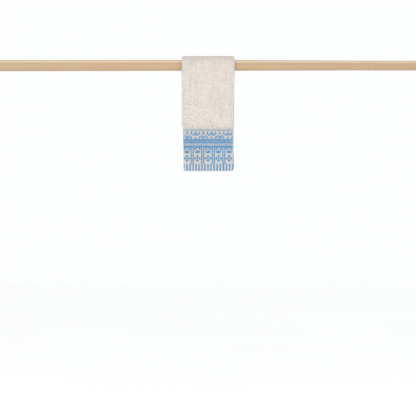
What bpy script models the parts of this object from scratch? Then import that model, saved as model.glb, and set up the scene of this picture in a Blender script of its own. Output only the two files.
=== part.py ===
"""A cotton terry towel, folded in thirds along its length and hung over a round wooden rod.

The rod lies along X, and the middle of its left end face is the origin. +Z is up, and the towel's
front faces -Y. All sizes are in metres.

The towel is one sheet. Across, it runs from a free edge along the middle layer to the left fold,
back along the outer layer to the right fold, and along the inner layer to its other free edge.
Along, it runs from the front hem up its front drop, over the rod and down its back drop.
"""

import math

import bpy
import numpy as np

# Rod: a round pole that thins towards its right end
ROD_LENGTH = 1.400
ROD_SIDES = 48
ROD_END_EASE = 0.0015

# Each row: distance from the left end, radius, and height of the centre line
ROD_SECTIONS = np.array(
    [
        (0.000, 0.0179, 0.0000),
        (0.350, 0.0177, 0.0004),
        (0.610, 0.0174, 0.0009),
        (0.830, 0.0171, 0.0009),
        (0.900, 0.0167, 0.0008),
        (1.000, 0.0164, 0.0007),
        (1.100, 0.0160, 0.0006),
        (1.200, 0.0157, 0.0005),
        (1.400, 0.0156, -0.0003),
    ],
    dtype=[("along", float), ("radius", float), ("rise", float)],
)

# Towel: where it hangs, and how its three layers lie on each other
TOWEL_MIDDLE = 0.700
TOWEL_CLEARANCE = 0.0003
LAYER_GAP = 0.00035
PILE_THICKNESS = 0.0039
PILE_EDGE_THICKNESS = 0.0028
BORDER_THICKNESS = 0.0017
HEM_THICKNESS = 0.0024
HEM_LIP = 0.0012
FREE_EDGE_ROUNDING = 0.0007
MIDDLE_LAYER_SHORT = 0.0045
INNER_LAYER_SHORT = 0.0025

# How much lower the free edges of the middle and inner layers hang than the outer layer's hem. The outer
# layer goes the longest way round the rod, so at the back the others reach lower
FRONT_SLIPS = np.array([-0.0012, -0.0022])
BACK_SLIPS = np.array([0.0090, 0.0190])

# Each row: distance below the rod's middle, the left and right outline measured from TOWEL_MIDDLE,
# the thickness of one layer, and how far the layers stand out from straight down
DROP_COLUMNS = [("drop", float), ("left", float), ("right", float), ("thickness", float), ("lean", float)]
FRONT_DROP = np.array(
    [
        (0.0000, -0.0843, 0.0856, PILE_THICKNESS, 0.0000),
        (0.0350, -0.0843, 0.0855, PILE_THICKNESS, 0.0007),
        (0.0650, -0.0842, 0.0842, PILE_THICKNESS, 0.0008),
        (0.1250, -0.0842, 0.0838, PILE_THICKNESS, 0.0000),
        (0.1980, -0.0841, 0.0834, PILE_THICKNESS, -0.0008),
        (0.2008, -0.0818, 0.0817, PILE_EDGE_THICKNESS, -0.0008),
        (0.2022, -0.0797, 0.0801, BORDER_THICKNESS, -0.0008),
        (0.2450, -0.0796, 0.0802, BORDER_THICKNESS, -0.0012),
        (0.2840, -0.0786, 0.0815, BORDER_THICKNESS, -0.0018),
        (0.3220, -0.0782, 0.0829, BORDER_THICKNESS, -0.0024),
        (0.3280, -0.0777, 0.0828, BORDER_THICKNESS, -0.0024),
        (0.3300, -0.0774, 0.0825, HEM_THICKNESS, -0.0025),
        (0.3350, -0.0769, 0.0808, HEM_THICKNESS, -0.0025),
        (0.3380, -0.0760, 0.0787, HEM_THICKNESS, -0.0025),
        (0.3390, -0.0755, 0.0779, HEM_LIP, -0.0025),
    ],
    dtype=DROP_COLUMNS,
)
BACK_DROP = np.array(
    [
        (0.0000, -0.0843, 0.0856, PILE_THICKNESS, 0.0000),
        (0.0350, -0.0841, 0.0853, PILE_THICKNESS, 0.0008),
        (0.0800, -0.0838, 0.0846, PILE_THICKNESS, 0.0009),
        (0.1315, -0.0836, 0.0843, PILE_THICKNESS, 0.0002),
        (0.1343, -0.0820, 0.0828, PILE_EDGE_THICKNESS, 0.0002),
        (0.1357, -0.0805, 0.0814, BORDER_THICKNESS, 0.0002),
        (0.1900, -0.0801, 0.0815, BORDER_THICKNESS, -0.0006),
        (0.2550, -0.0797, 0.0820, BORDER_THICKNESS, -0.0016),
        (0.2615, -0.0795, 0.0818, BORDER_THICKNESS, -0.0017),
        (0.2635, -0.0793, 0.0816, HEM_THICKNESS, -0.0017),
        (0.2715, -0.0784, 0.0806, HEM_THICKNESS, -0.0018),
        (0.2725, -0.0778, 0.0798, HEM_LIP, -0.0018),
    ],
    dtype=DROP_COLUMNS,
)

# How finely the towel is cut into faces
LAYER_STEPS = 6
LEFT_FOLD_STEPS = 6
RIGHT_FOLD_STEPS = 8
OVER_ROD_STEPS = 16

# Finishes: colour and roughness
PALE_WOOD = ((0.65, 0.45, 0.28), 0.55)
COTTON_TERRY = ((0.77, 0.70, 0.63), 0.95)
SHARP_EDGE_DEG = 40.0


def rod_at(along, column):
    """The rod's radius or rise at a distance from its left end, straight between the table's rows."""
    return np.interp(along, ROD_SECTIONS["along"], ROD_SECTIONS[column])


def rod_faces():
    """Rings of points round the centre line, joined by quads, with an eased edge and a flat disc at each end."""
    inner = ROD_SECTIONS["along"][1:-1]
    places = [0.0, ROD_END_EASE, *inner, ROD_LENGTH - ROD_END_EASE, ROD_LENGTH]
    turn = np.linspace(0.0, 2.0 * math.pi, ROD_SIDES, endpoint=False)
    points = []
    for along in places:
        radius = rod_at(along, "radius")
        if along in (0.0, ROD_LENGTH):
            radius -= ROD_END_EASE
        rise = rod_at(along, "rise")
        points += [(along, radius * math.cos(a), rise + radius * math.sin(a)) for a in turn]

    faces = []
    for ring in range(len(places) - 1):
        for side in range(ROD_SIDES):
            here = ring * ROD_SIDES + side
            beside = ring * ROD_SIDES + (side + 1) % ROD_SIDES
            faces.append((here, beside, beside + ROD_SIDES, here + ROD_SIDES))
    last = (len(places) - 1) * ROD_SIDES
    faces.append(tuple(reversed(range(ROD_SIDES))))
    faces.append(tuple(range(last, last + ROD_SIDES)))
    return points, faces


def hang_height():
    """Height of the rod's middle under the towel."""
    return float(rod_at(TOWEL_MIDDLE, "rise"))


def inner_radius():
    """Radius of the towel's face that rests on the rod, clear of the rod's thickest stretch under it."""
    ends = TOWEL_MIDDLE + np.array([FRONT_DROP["left"].min(), FRONT_DROP["right"].max()])
    return float(rod_at(ends, "radius").max()) + TOWEL_CLEARANCE


def stretch(x, depth, normal_x, normal_depth, middle_slip=0.0, inner_slip=0.0):
    """Points of the middle line with their normals and slips, one row each."""
    return np.column_stack(np.broadcast_arrays(x, depth, normal_x, normal_depth, middle_slip, inner_slip))


def fold_line(left, right, thickness):
    """The sheet's middle line across the towel, from the middle layer's free edge to the inner layer's.

    Depth counts outwards from the middle layer. The left fold is a half circle of half a layer's pitch,
    and the right fold one of a whole pitch round the middle layer. A slip is 1 at its layer's free edge
    and 0 at the fold that the layer hangs from.
    """
    pitch = thickness + LAYER_GAP
    left_centre = left + (pitch + thickness) / 2.0
    right_centre = right - pitch - thickness / 2.0
    middle_end = right_centre - MIDDLE_LAYER_SHORT
    inner_end = left_centre + INNER_LAYER_SHORT

    share = np.linspace(0.0, 1.0, LAYER_STEPS + 1)
    middle = stretch(middle_end + (left_centre - middle_end) * share, 0.0, 0.0, -1.0, middle_slip=1.0 - share)
    turn = np.linspace(0.0, math.pi, LEFT_FOLD_STEPS + 1)[1:-1]
    left_fold = stretch(
        left_centre - pitch / 2.0 * np.sin(turn),
        pitch / 2.0 * (1.0 - np.cos(turn)),
        -np.sin(turn),
        -np.cos(turn),
    )
    outer = stretch(left_centre + (right_centre - left_centre) * share, pitch, 0.0, 1.0)
    turn = np.linspace(0.0, math.pi, RIGHT_FOLD_STEPS + 1)[1:-1]
    right_fold = stretch(
        right_centre + pitch * np.sin(turn), pitch * np.cos(turn), np.sin(turn), np.cos(turn)
    )
    inner = stretch(right_centre + (inner_end - right_centre) * share, -pitch, 0.0, -1.0, inner_slip=share)
    return np.concatenate([middle, left_fold, outer, right_fold, inner])


def towel_section(row):
    """The closed outline across the towel: the sheet's face, a free edge, its reverse, the other free edge.

    Face and reverse lie half a thickness to either side of the middle line. Returns the outline's
    places, as x and depth, and the slips of its points.
    """
    line = fold_line(row["left"], row["right"], row["thickness"])
    middle, normal, slips = line[:, :2], line[:, 2:4], line[:, 4:]
    half = row["thickness"] / 2.0
    first_edge = middle[:1] + (FREE_EDGE_ROUNDING, 0.0)
    last_edge = middle[-1:] - (FREE_EDGE_ROUNDING, 0.0)
    places = np.concatenate(
        [middle + half * normal, last_edge, (middle - half * normal)[::-1], first_edge]
    )
    return places, np.concatenate([slips, slips[-1:], slips[::-1], slips[:1]])


def stack_middle():
    """Distance from the rod's middle line to the middle of the three layers."""
    return inner_radius() + PILE_THICKNESS / 2.0 + PILE_THICKNESS + LAYER_GAP


def drop_ring(row, side, layer_slips, whole_drop):
    """One ring of the hanging part. side is -1 for the front and 1 for the back."""
    places, slips = towel_section(row)
    out = stack_middle() + row["lean"] + places[:, 1]
    height = hang_height() - row["drop"] - row["drop"] / whole_drop * (slips @ layer_slips)
    return np.column_stack([TOWEL_MIDDLE + places[:, 0], side * out, height])


def over_rod_ring(angle):
    """One ring over the rod, at an angle that runs from 0 at the front to pi at the back."""
    places, _ = towel_section(FRONT_DROP[0])
    out = stack_middle() + places[:, 1]
    across = TOWEL_MIDDLE + places[:, 0]
    return np.column_stack([across, -out * math.cos(angle), hang_height() + out * math.sin(angle)])


def towel_rings():
    """Every ring of the towel, from the front hem over the rod to the back hem."""
    front = [drop_ring(row, -1, FRONT_SLIPS, FRONT_DROP["drop"][-1]) for row in FRONT_DROP[::-1]]
    turns = np.linspace(0.0, math.pi, OVER_ROD_STEPS + 1)[1:-1]
    over = [over_rod_ring(angle) for angle in turns]
    back = [drop_ring(row, 1, BACK_SLIPS, BACK_DROP["drop"][-1]) for row in BACK_DROP]
    return front + over + back


def hem_faces(start, count):
    """Closes a ring of count points: quads from face to reverse, and a triangle at each free edge."""
    across = (count - 2) // 2
    faces = []
    for index in range(across - 1):
        face, reverse = start + index, start + count - 2 - index
        faces.append((face, face + 1, reverse - 1, reverse))
    faces.append((start + across - 1, start + across, start + across + 1))
    faces.append((start, start + count - 2, start + count - 1))
    return faces


def towel_faces():
    """The towel's rings joined by quads, with a hem at each end."""
    rings = towel_rings()
    count = len(rings[0])
    faces = []
    for ring in range(len(rings) - 1):
        for index in range(count):
            here = ring * count + index
            beside = ring * count + (index + 1) % count
            faces.append((here, beside, beside + count, here + count))
    faces += [tuple(reversed(face)) for face in hem_faces(0, count)]
    faces += hem_faces((len(rings) - 1) * count, count)
    return np.concatenate(rings).tolist(), faces


def finish(name, color, roughness):
    """A plain finish without metal."""
    material = bpy.data.materials.new(name)
    material.use_nodes = True
    shader = material.node_tree.nodes["Principled BSDF"]
    shader.inputs["Base Color"].default_value = (*color, 1.0)
    shader.inputs["Roughness"].default_value = roughness
    shader.inputs["Metallic"].default_value = 0.0
    material.diffuse_color = (*color, 1.0)
    return material


def add_object(name, points, faces, material):
    """One closed, smooth-shaded object, with sharp edges kept sharp."""
    mesh = bpy.data.meshes.new(name)
    mesh.from_pydata(points, [], faces)
    mesh.validate()
    mesh.shade_smooth()
    mesh.set_sharp_from_angle(angle=math.radians(SHARP_EDGE_DEG))
    mesh.materials.append(material)
    made = bpy.data.objects.new(name, mesh)
    bpy.context.scene.collection.objects.link(made)
    return made


def main():
    for old in list(bpy.data.objects):
        bpy.data.objects.remove(old, do_unlink=True)
    add_object("rod", *rod_faces(), finish("pale_wood", *PALE_WOOD))
    add_object("towel", *towel_faces(), finish("cotton_terry", *COTTON_TERRY))


main()
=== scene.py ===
"""Looks of a cotton terry towel, folded in thirds and hung over a round wooden rod.

Everything on the towel is first laid out flat and then bent by one function. Flat places are
- across: distance across the cloth, 0 at the towel's middle line on its outer layer,
- along: distance from the front hem, up the front drop, over the rod and down the back drop,
- lift: distance from the cloth's middle plane, positive on the cloth's right side.
A share is a place across, counted in stretches: the middle layer is 0 to 1, the left fold 1 to 2,
the outer layer 2 to 3, the right fold 3 to 4 and the inner layer 4 to 5.
All sizes are in metres.
"""

import math

import bpy
import numpy as np
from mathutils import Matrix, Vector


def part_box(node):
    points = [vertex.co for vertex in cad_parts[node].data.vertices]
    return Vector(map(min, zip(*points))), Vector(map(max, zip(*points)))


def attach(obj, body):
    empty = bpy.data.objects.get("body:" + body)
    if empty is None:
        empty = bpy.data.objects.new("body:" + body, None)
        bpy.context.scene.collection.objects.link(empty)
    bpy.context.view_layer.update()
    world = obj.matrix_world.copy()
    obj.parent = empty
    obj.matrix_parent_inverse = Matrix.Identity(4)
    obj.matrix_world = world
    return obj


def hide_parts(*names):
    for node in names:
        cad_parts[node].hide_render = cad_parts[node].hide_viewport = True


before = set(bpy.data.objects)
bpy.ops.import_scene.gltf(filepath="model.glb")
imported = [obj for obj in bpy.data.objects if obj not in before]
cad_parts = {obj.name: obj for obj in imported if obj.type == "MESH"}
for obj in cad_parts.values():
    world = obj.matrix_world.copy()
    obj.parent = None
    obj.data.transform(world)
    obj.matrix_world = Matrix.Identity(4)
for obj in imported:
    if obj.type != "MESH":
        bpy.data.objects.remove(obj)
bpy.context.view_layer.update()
ROD_LOW, ROD_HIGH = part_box("rod")

bl_info = {
    "name": "Folded terry towel on a rod",
    "version": (1, 0, 0),
    "blender": (4, 5, 0),
    "location": "3D View > Sidebar > Towel",
    "description": "Makes a folded terry towel with a woven border, hung over a wooden rod",
    "category": "Object",
}

# Rod, as the frame has it: distance from the left end, radius, and height of the centre line
ROD_SECTIONS = np.array(
    [
        (0.000, 0.0179, 0.0000),
        (0.350, 0.0177, 0.0004),
        (0.610, 0.0174, 0.0009),
        (0.830, 0.0171, 0.0009),
        (0.900, 0.0167, 0.0008),
        (1.000, 0.0164, 0.0007),
        (1.100, 0.0160, 0.0006),
        (1.200, 0.0157, 0.0005),
        (1.400, 0.0156, -0.0003),
    ],
    dtype=[("along", float), ("radius", float), ("rise", float)],
)
ROD_END_EASE = 0.0015
ROD_END_RINGS = 4
ROD_RING_PITCH = 0.01
ROD_WANDER_SIZE = 0.03
ROD_WANDER_STRETCH = 6.0
ROD_WANDER_ROUND = 0.016

# Wood: how far behind and over the tree's axis the rod's own lies, and the growth rings
FROM_TREE_AXIS = (0.045, 0.020)
RING_DRIFT = 0.016
HALF_RINGS_IN_A_METRE = 520.0
RING_SHARPNESS = 3.0
WHITE = (1.0, 1.0, 1.0)

# Towel, as the frame has it
TOWEL_MIDDLE = 0.700
TOWEL_CLEARANCE = 0.0003
LAYER_GAP = 0.00035
PILE_THICKNESS = 0.0039
PILE_EDGE_THICKNESS = 0.0028
BORDER_THICKNESS = 0.0017
HEM_THICKNESS = 0.0024
HEM_LIP = 0.0012
# How far short of the next fold the free edges of the middle and inner layers end
MIDDLE_LAYER_SHORT = 0.0045
INNER_LAYER_SHORT = 0.0025
# How much lower than the outer layer the free edges of the middle and inner layers hang
FRONT_SLIPS = (-0.0012, -0.0022)
BACK_SLIPS = (0.0090, 0.0190)

# Each row: distance below the rod's middle, left and right outline, thickness of a layer, and lean
DROP_COLUMNS = [("drop", float), ("left", float), ("right", float), ("thickness", float), ("lean", float)]
FRONT_DROP = np.array(
    [
        (0.0000, -0.0843, 0.0856, PILE_THICKNESS, 0.0000),
        (0.0350, -0.0843, 0.0855, PILE_THICKNESS, 0.0007),
        (0.0650, -0.0842, 0.0842, PILE_THICKNESS, 0.0008),
        (0.1250, -0.0842, 0.0838, PILE_THICKNESS, 0.0000),
        (0.1980, -0.0841, 0.0834, PILE_THICKNESS, -0.0008),
        (0.2008, -0.0818, 0.0817, PILE_EDGE_THICKNESS, -0.0008),
        (0.2022, -0.0797, 0.0801, BORDER_THICKNESS, -0.0008),
        (0.2450, -0.0796, 0.0802, BORDER_THICKNESS, -0.0012),
        (0.2840, -0.0786, 0.0815, BORDER_THICKNESS, -0.0018),
        (0.3220, -0.0782, 0.0829, BORDER_THICKNESS, -0.0024),
        (0.3280, -0.0777, 0.0828, BORDER_THICKNESS, -0.0024),
        (0.3300, -0.0774, 0.0825, HEM_THICKNESS, -0.0025),
        (0.3350, -0.0769, 0.0808, HEM_THICKNESS, -0.0025),
        (0.3380, -0.0760, 0.0787, HEM_THICKNESS, -0.0025),
        (0.3390, -0.0755, 0.0779, HEM_LIP, -0.0025),
    ],
    dtype=DROP_COLUMNS,
)
BACK_DROP = np.array(
    [
        (0.0000, -0.0843, 0.0856, PILE_THICKNESS, 0.0000),
        (0.0350, -0.0841, 0.0853, PILE_THICKNESS, 0.0008),
        (0.0800, -0.0838, 0.0846, PILE_THICKNESS, 0.0009),
        (0.1315, -0.0836, 0.0843, PILE_THICKNESS, 0.0002),
        (0.1343, -0.0820, 0.0828, PILE_EDGE_THICKNESS, 0.0002),
        (0.1357, -0.0805, 0.0814, BORDER_THICKNESS, 0.0002),
        (0.1900, -0.0801, 0.0815, BORDER_THICKNESS, -0.0006),
        (0.2550, -0.0797, 0.0820, BORDER_THICKNESS, -0.0016),
        (0.2615, -0.0795, 0.0818, BORDER_THICKNESS, -0.0017),
        (0.2635, -0.0793, 0.0816, HEM_THICKNESS, -0.0017),
        (0.2715, -0.0784, 0.0806, HEM_THICKNESS, -0.0018),
        (0.2725, -0.0778, 0.0798, HEM_LIP, -0.0018),
    ],
    dtype=DROP_COLUMNS,
)
FRONT_LENGTH = float(FRONT_DROP["drop"][-1])
BACK_LENGTH = float(BACK_DROP["drop"][-1])
# How far below the rod's middle the pile ends, and a drop that is in the border on both sides
FRONT_PILE_DROP = 0.2016
BACK_PILE_DROP = 0.1351
NO_PILE_BELOW = 0.21

# Soft creases. Each row: side (-1 front, 1 back), place across and below the rod's
# middle, direction from straight down, half length, half width, and height, less than 0 for a trough
CREASE_COLUMNS = [
    ("side", float), ("across", float), ("drop", float), ("turn", float),
    ("length", float), ("width", float), ("height", float),
]
CREASES = np.array(
    [
        (-1, 0.029, 0.006, -0.45, 0.014, 0.0036, 0.0012),
        (-1, 0.043, 0.008, 0.40, 0.016, 0.0038, 0.0013),
        (-1, 0.036, 0.022, 0.05, 0.012, 0.0050, -0.0009),
        (-1, -0.046, 0.052, 0.18, 0.060, 0.0110, 0.0009),
        (-1, -0.018, 0.105, -0.10, 0.080, 0.0130, -0.0009),
        (-1, 0.022, 0.120, 0.07, 0.090, 0.0140, 0.0010),
        (-1, 0.058, 0.085, -0.15, 0.060, 0.0120, -0.0008),
        (-1, -0.030, 0.290, 0.06, 0.060, 0.0200, 0.0009),
        (-1, 0.034, 0.300, -0.08, 0.060, 0.0210, -0.0010),
        (-1, 0.066, 0.300, 0.05, 0.050, 0.0130, 0.0010),
        (1, -0.040, 0.060, 0.15, 0.060, 0.0120, 0.0009),
        (1, 0.010, 0.100, -0.10, 0.080, 0.0140, -0.0009),
        (1, 0.050, 0.080, 0.10, 0.070, 0.0130, 0.0009),
        (1, -0.028, 0.220, -0.05, 0.060, 0.0200, 0.0010),
        (1, 0.040, 0.230, 0.07, 0.060, 0.0200, -0.0010),
    ],
    dtype=CREASE_COLUMNS,
)
TROUGH_NEAR_ROD = 0.0002
TROUGH_GROWTH = 0.03

# Random draws: where each kind starts, before a piece's number is added
TUFT_SEED = 5
SWIRL_SEED = 7
ROD_SEED = 11
SPOT_SEED = 100
LOOP_SEED = 200
FLOAT_SEED = 300
STITCH_SEED = 400
SEAM_SEED = 900

# Ground: points across each stretch, the hem's and the pile's edges along, and the steps between edges
STATIONS_ACROSS = (20, 10, 46, 14, 20)
EDGES_ALONG = (0.0, 0.0012, 0.012, 0.1350, 0.1420)
STEPS_ALONG = (2, 8, 28, 7, 42, 26, 22, 7, 26, 8, 2)
EDGE_POINTS = 3
GROUND_INSET = 0.0001
SELVEDGE = 0.0040
WARP_SPACING = 0.9
WARP_RELIEF = 0.4
CURL_RELIEF = 14.0

# Pile: places of the loops, as shares of their spacing or of a stretch
STRETCH_FILL = 0.999
STRETCH_MARGIN = 0.002
FIRST_SPOT = 0.25
ROW_STAGGER = 0.5
SPOT_JITTER = 0.30

# Pile: a loop's top, as a share of the pile's depth, and how loops differ from each other
TOP_SHARE = 0.92
TOP_TUFTS = 0.14
TOP_PARTED = 0.35
TOP_SPREAD = 0.20
TOP_LIMITS = (0.35, 1.20)
LENGTH_SPREAD = (0.85, 1.15)
WIDTH_SPREAD = (0.80, 1.25)
YARN_SPREAD = (0.85, 1.12)
TUFT_SIZE = 0.007
SWIRL_SIZE = 0.012
SWIRL_TURN = 0.9
LIE_SPREAD = 0.60
ARCH_STEPS = (0.28, 0.5, 0.72)
ARCH_BELLY = 0.6
FOOT_SPREAD = 0.9
FOOT_DEPTH = 0.0003

# Border: heights above the hem of its rows, and its motifs
BORDER_HEIGHT = 0.1376
WAVE_REACH = 0.0005
WAVE_UP = 0.013
WAVE_ACROSS = 0.021
WAVE_TOP = 0.05
STRIPE_PITCH = 0.0096
STRIPE_HALF = 0.00215
STRIPE_GROWTH = 0.015
STRIPE_TOP = 0.0242
STRIPE_POINT = 0.5
STRIPE_OVERLAP = 0.002
STRIPE_BOW = 0.0024
STRIPE_BOW_REACH = 0.080
BAY = 0.0336
UPRIGHT_FROM_BAY_EDGE = 0.00335
UPRIGHT_HALF = 0.00180
BEAD_PITCH = 0.0042
BEAD_HALF = 0.0014
ARCH_FOOT = 0.0674
DOME_HALF_WIDTH = 0.0043
DOME_RISE = 0.0068
SHOULDER_PLACE = 0.0104
SHOULDER_HEIGHT = 0.0728
SHOULDER_HALF = 0.0026
CUP_HALF_WIDTH = 0.0092
CUP_RIM = 0.0630
CUP_DEPTH = 0.0066
CUP_PETAL = 0.0018
CUP_TIP = 0.0052
CROSS_HEIGHT = 0.0409
CROSS_ARM = 0.0070
CROSS_LOZENGE = 0.0050
CROSS_HEART = 0.0029
LINE_ROW = (0.0742, 0.0819)
SEED_HEIGHT = 0.0849
SEED_PITCH = 0.0042
SEED_HALF = 0.0018
DOTTED_ROW = (0.0880, 0.1030)
DOT_PITCH = BAY / 4.0
DOT_HALF = 0.0019
LOZENGE_ROWS = (0.1066, 0.1134, 0.1204)
LOZENGE_STEP = 0.0026
GARLAND_REPEAT = 8.0
LOZENGE_PITCH = 0.0518 / GARLAND_REPEAT
LOZENGE_MIDDLE = 0.0115
LOZENGE_HALF_WIDTH = 0.0061
LOZENGE_HALF_HEIGHT = 0.0052
LOZENGE_SMALL = 0.72
LOZENGE_HEART = 0.38
LOZENGE_SLIM = 0.52
TIP_SEED_HEIGHT = 0.1254
TIP_SEED_HALF = 0.0024
PALE_ROW = (0.1268, 0.1338)
PALE_STEP = 0.0013
PALE_PICK = 0.0008

# Floats of blue yarn, read from the figure in small steps, and stitches
FIGURE_START = 0.0014
FIGURE_REACH = 0.26
FIGURE_STEP = 0.0003
FIGURE_MARGIN = 0.6 * SELVEDGE
REVERSE_SHOWS = 0.026
TIE_FREE = 0.0024
TIE_STEPS_ON_FOLD = 4
SHORTEST_FLOAT_STEPS = 2
FLOAT_HALF_WIDTH = 0.56
FLOAT_HEIGHT = 0.00022
SHOULDER_REACH = 0.00028
SHOULDER_SHARE = 0.3
TIP_REACH = 0.00022
TIP_DIP = 0.0001
SWELL_SPREAD = (0.88, 1.10)
WANDER_SPREAD = 0.08
HEM_SEAM = 0.0082
STITCH_PITCH = 0.0030
STITCH_GAP = 0.0006
STITCH_MARGIN = 0.001
STITCH_HALF_WIDTH = 0.00024
STITCH_HEIGHT = 0.00042
STITCH_WANDER = 0.0001
STITCH_WANDER_SIZE = 0.03

# Bake layouts: start and size of the flat sheets that are laid over 0 to 1, and the rod's strips and discs
CLOTH_BAKE_START = (0.28, 0.01)
CLOTH_BAKE_SIZE = (1.14, 0.73)
CLOTH_BAKE_REVERSE = 0.5
YARN_BAKE_START = (0.30, 0.01)
YARN_BAKE_SIZE = (0.72, 0.72)
YARN_BAKE_LIFT = 0.3
ROD_STRIPS = 4
ROD_STRIP_LENGTH = 0.35
ROD_STRIP_SHARE = 0.22
ROD_STRIP_MARGIN = 0.02
ROD_DISC_PLACES = (0.06, 0.20)
ROD_DISC_HEIGHT = 0.94
ROD_DISC_RADIUS = 0.055

# Stage: places of the lamps and points that they are turned to, from the towel's middle on the rod's line
KEY_PLACE = (-0.5, -3.7, -0.5)
KEY_AIM = (0.0, 0.0, -0.15)
KEY_SIZE = 1.4
BOUNCE_PLACE = (0.0, -0.7, -1.2)
BOUNCE_SIZE = 1.6
GLOSS_PLACE = (0.0, -0.15, 2.0)
GLOSS_SIZE = (2.6, 0.35)
GLOSS_COLOR = (1.0, 0.93, 0.78)
ROD_AIM = (0.0, 0.0, 0.0)
FLOOR_HALF = 14.0
SENSOR_WIDTH = 36.0
VIEW_END = 100.0


def rod_at(along, column):
    """The rod's radius or rise at a distance from its left end, straight between the table's rows."""
    return np.interp(along, ROD_SECTIONS["along"], ROD_SECTIONS[column])


TOWEL_SIDES = TOWEL_MIDDLE + np.array([FRONT_DROP["left"].min(), FRONT_DROP["right"].max()])
HANG_HEIGHT = float(rod_at(TOWEL_MIDDLE, "rise"))
INNER_RADIUS = TOWEL_CLEARANCE + float(rod_at(TOWEL_SIDES, "radius").max())
# The middle layer's middle plane: outside the inner layer, a gap and half of its own thickness
STACK_MIDDLE = INNER_RADIUS + 1.5 * PILE_THICKNESS + LAYER_GAP
OVER_ROD_LENGTH = math.pi * (STACK_MIDDLE + PILE_THICKNESS + LAYER_GAP)
BACK_START = FRONT_LENGTH + OVER_ROD_LENGTH
WHOLE_LENGTH = BACK_START + BACK_LENGTH
CREST = FRONT_LENGTH + OVER_ROD_LENGTH / 2.0
PILE_EDGE_FRONT = FRONT_LENGTH - FRONT_PILE_DROP
PILE_EDGE_BACK = BACK_START + BACK_PILE_DROP
PILE_MIDDLE = (PILE_EDGE_FRONT + PILE_EDGE_BACK) / 2.0
PILE_HALF_LENGTH = (PILE_EDGE_BACK - PILE_EDGE_FRONT) / 2.0
FRONT_HALFWAY = (PILE_EDGE_FRONT + FRONT_LENGTH) / 2.0

# Shade painted into the pile's colour at its edges, over the rod's crest and at the panel's sides: width and
# strength
PILE_EDGE_SHADE = (0.012, 0.40)
CREST_SHADE = (0.020, 0.50)
SIDE_SHADE = (0.014, 0.15)
PANEL_MIDDLE = -0.0013
PANEL_HALF_WIDTH = 0.0800


def down_the_length(along):
    """What the drop tables say at a distance along: side, drop, angle round the rod, and outline.

    The angle is 0 on the front drop and pi on the back one, and runs evenly between them over the rod.
    """
    side = np.where(along > (FRONT_LENGTH + BACK_START) / 2.0, 1.0, -1.0)
    drop = np.maximum(np.where(side > 0.0, along - BACK_START, FRONT_LENGTH - along), 0.0)
    angle = np.clip((along - FRONT_LENGTH) / OVER_ROD_LENGTH, 0.0, 1.0) * math.pi
    found = {"side": side, "drop": drop, "angle": angle}
    for column in ("left", "right", "thickness", "lean"):
        front = np.interp(drop, FRONT_DROP["drop"], FRONT_DROP[column])
        back = np.interp(drop, BACK_DROP["drop"], BACK_DROP[column])
        found[column] = np.where(side > 0.0, back, front)
    return found


def stretch_ends(row):
    """Distances across at which the middle layer, left fold, outer layer, right fold and inner layer end."""
    pitch = row["thickness"] + LAYER_GAP
    left_centre = row["left"] + (pitch + row["thickness"]) / 2.0
    right_centre = row["right"] - pitch - row["thickness"] / 2.0
    left_turn = left_centre - math.pi * pitch / 2.0
    right_turn = right_centre + math.pi * pitch
    layer = right_centre - left_centre
    return np.stack(
        [
            left_turn - layer + MIDDLE_LAYER_SHORT,
            left_turn,
            left_centre,
            right_centre,
            right_turn,
            right_turn + layer - INNER_LAYER_SHORT,
        ]
    )


def at_share(share, ends):
    """Distance across for a share from 0 to 5: whole numbers are the stretches' ends, even between them."""
    low = np.clip(np.floor(share).astype(int), 0, 4)
    start = np.choose(low, tuple(ends))
    stop = np.choose(low + 1, tuple(ends))
    return start + (stop - start) * (share - low)


def creased(x, row):
    """How far soft creases push all layers outwards: a bell across each crease times a bell along it."""
    drop = row["drop"] - np.sin(row["angle"]) * STACK_MIDDLE
    push = np.zeros(np.broadcast(x, drop).shape)
    for crease in CREASES:
        aside, below = x - crease["across"], drop - crease["drop"]
        cosine, sine = math.cos(crease["turn"]), math.sin(crease["turn"])
        down = below * cosine + aside * sine
        away = aside * cosine - below * sine
        bell = np.exp(-((away / crease["width"]) ** 2) - (down / crease["length"]) ** 2)
        push += np.where(row["side"] == crease["side"], crease["height"] * bell, 0.0)
    return np.maximum(push, -TROUGH_NEAR_ROD - TROUGH_GROWTH * row["drop"])


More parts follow.
